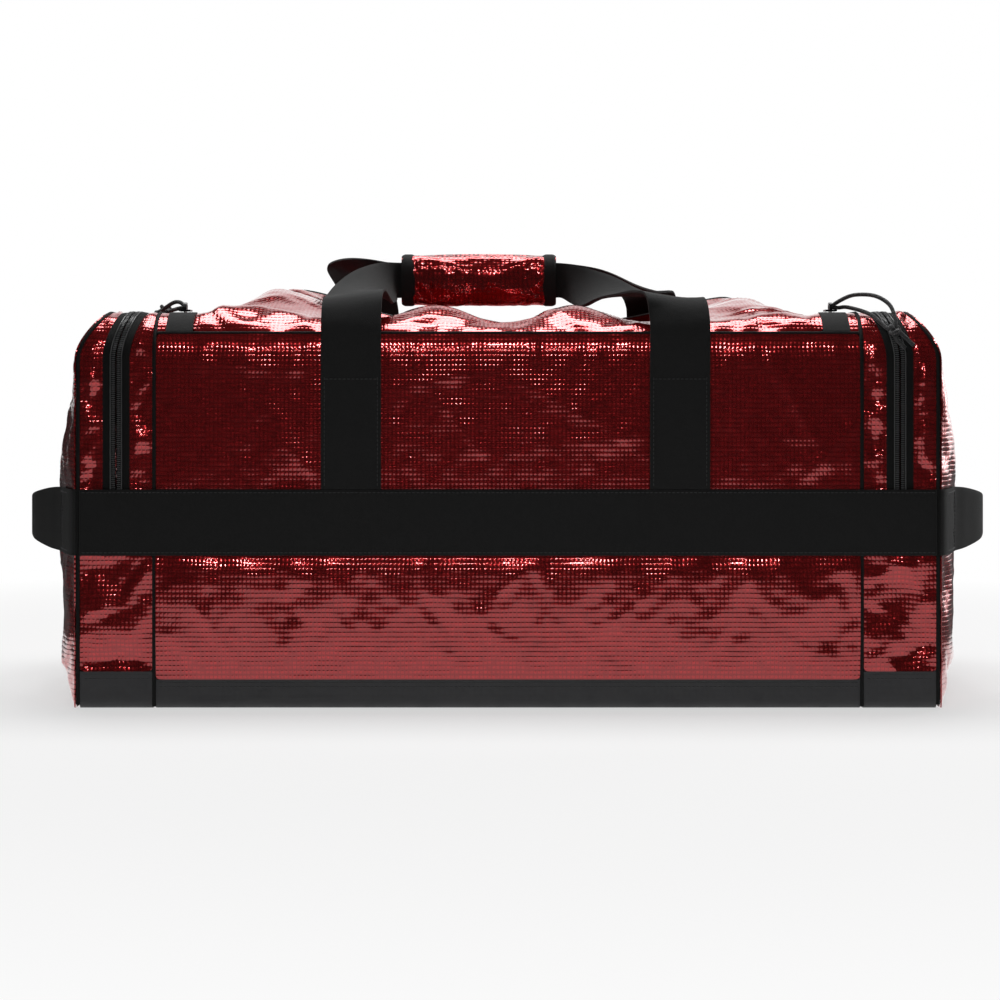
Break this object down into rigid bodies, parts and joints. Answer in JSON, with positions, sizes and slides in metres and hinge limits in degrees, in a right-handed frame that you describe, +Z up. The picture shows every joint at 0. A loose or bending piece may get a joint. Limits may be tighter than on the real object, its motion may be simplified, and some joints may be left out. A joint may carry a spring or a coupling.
{
  "type": "hockey equipment bag",
  "caption": "Long duffel for hockey kit with a zipped lid, zipped end pockets that fold down, a webbing belt, end grab handles and a padded carry handle.",
  "frame": {"origin": "middle of the underside of the base panel, on the floor", "axes": "+X along the bag's length to the viewer's right, -Y to the front of the bag, +Z up"},
  "size_m": [1.027, 0.4214, 0.465],
  "materials": {
    "red_coated_mesh": "glossy vinyl-coated mesh",
    "black_webbing": "matt woven webbing",
    "black_base": "matt coated base fabric",
    "black_zip": "zip tape with nylon coil",
    "slider_metal": "black enamelled slider",
    "black_cord": "braided cord",
    "stiffener": "plain board"
  },
  "bodies": {
    "shell": {"base_panel": "black_base", "front_skirt": "black_base", "back_skirt": "black_base", "left_pocket_base": "black_base", "right_pocket_base": "black_base", "base_board": "stiffener", "front_panel": "red_coated_mesh", "back_panel": "red_coated_mesh", "front_belt": "black_webbing", "back_belt": "black_webbing", "lid_seam_binding": "black_webbing", "lid_zip_outer_tape": "black_zip", "left_divider": "red_coated_mesh", "left_top_strip": "red_coated_mesh", "left_front_gusset": "red_coated_mesh", "left_back_gusset": "red_coated_mesh", "left_pocket_arch": "red_coated_mesh", "left_end_panel": "red_coated_mesh", "left_pocket_zip_tape": "black_zip", "left_seam_binding": "black_webbing", "left_corner_binding": "black_webbing", "left_grab_handle": "black_webbing", "front_left_strap": "black_webbing", "back_left_strap": "black_webbing", "right_divider": "red_coated_mesh", "right_top_strip": "red_coated_mesh", "right_front_gusset": "red_coated_mesh", "right_back_gusset": "red_coated_mesh", "right_pocket_arch": "red_coated_mesh", "right_end_panel": "red_coated_mesh", "right_pocket_zip_tape": "black_zip", "right_seam_binding": "black_webbing", "right_corner_binding": "black_webbing", "right_grab_handle": "black_webbing", "front_right_strap": "black_webbing", "back_right_strap": "black_webbing"},
    "lid": {"lid_panel": "red_coated_mesh", "lid_zip_lid_tape": "black_zip"},
    "front_handle": {"front_handle_strap": "black_webbing", "handle_wrap": "red_coated_mesh", "handle_wrap_flap": "red_coated_mesh"},
    "rear_handle": {"rear_handle_strap": "black_webbing"},
    "left_flap": {"left_flap_panel": "red_coated_mesh", "left_flap_arch": "red_coated_mesh", "left_flap_zip_tape": "black_zip", "left_flap_binding": "black_webbing"},
    "left_lid_slider": {"left_lid_slider": "slider_metal", "left_lid_pull_cord": "black_cord"},
    "left_pocket_slider": {"left_pocket_slider": "slider_metal", "left_pocket_pull_cord": "black_cord"},
    "right_flap": {"right_flap_panel": "red_coated_mesh", "right_flap_arch": "red_coated_mesh", "right_flap_zip_tape": "black_zip", "right_flap_binding": "black_webbing"},
    "right_lid_slider": {"right_lid_slider": "slider_metal", "right_lid_pull_cord": "black_cord"},
    "right_pocket_slider": {"right_pocket_slider": "slider_metal", "right_pocket_pull_cord": "black_cord"}
  },
  "joints": [
    {"name": "lid_hinge", "type": "hinge", "parent": "shell", "child": "lid", "pos_m": [0, -0.19307, 0.376], "axis": [1, 0, 0], "range_deg": [0, 70]},
    {"name": "front_handle_swing", "type": "hinge", "parent": "shell", "child": "front_handle", "pos_m": [0, -0.204, 0.338], "axis": [1, 0, 0], "range_deg": [0, 170], "deforming": ["handle_wrap_flap"]},
    {"name": "rear_handle_swing", "type": "hinge", "parent": "shell", "child": "rear_handle", "pos_m": [0, 0.204, 0.338], "axis": [-1, 0, 0], "range_deg": [0, 176]},
    {"name": "left_flap_hinge", "type": "hinge", "parent": "shell", "child": "left_flap", "pos_m": [-0.477, 0, 0.219], "axis": [0, -1, 0], "range_deg": [0, 80]},
    {"name": "right_flap_hinge", "type": "hinge", "parent": "shell", "child": "right_flap", "pos_m": [0.477, 0, 0.219], "axis": [0, 1, 0], "range_deg": [0, 80]},
    {"name": "left_lid_slider_travel", "type": "slide", "parent": "shell", "child": "left_lid_slider", "axis": [0, 1, 0], "range_m": [0, 0.24], "deforming": ["left_lid_pull_cord"]},
    {"name": "left_pocket_slider_travel", "type": "slide", "parent": "shell", "child": "left_pocket_slider", "axis": [0, 0, 1], "range_m": [0, 0.11], "deforming": ["left_pocket_pull_cord"]},
    {"name": "right_lid_slider_travel", "type": "slide", "parent": "shell", "child": "right_lid_slider", "axis": [0, 1, 0], "range_m": [0, 0.24], "deforming": ["right_lid_pull_cord"]},
    {"name": "right_pocket_slider_travel", "type": "slide", "parent": "shell", "child": "right_pocket_slider", "axis": [0, 0, 1], "range_m": [0, 0.11], "deforming": ["right_pocket_pull_cord"]}
  ],
  "couplings": [
    {"joint": "front_handle_swing", "follows": "lid_hinge", "ratio": 2.4},
    {"joint": "rear_handle_swing", "follows": "lid_hinge", "ratio": 2.5}
  ]
}
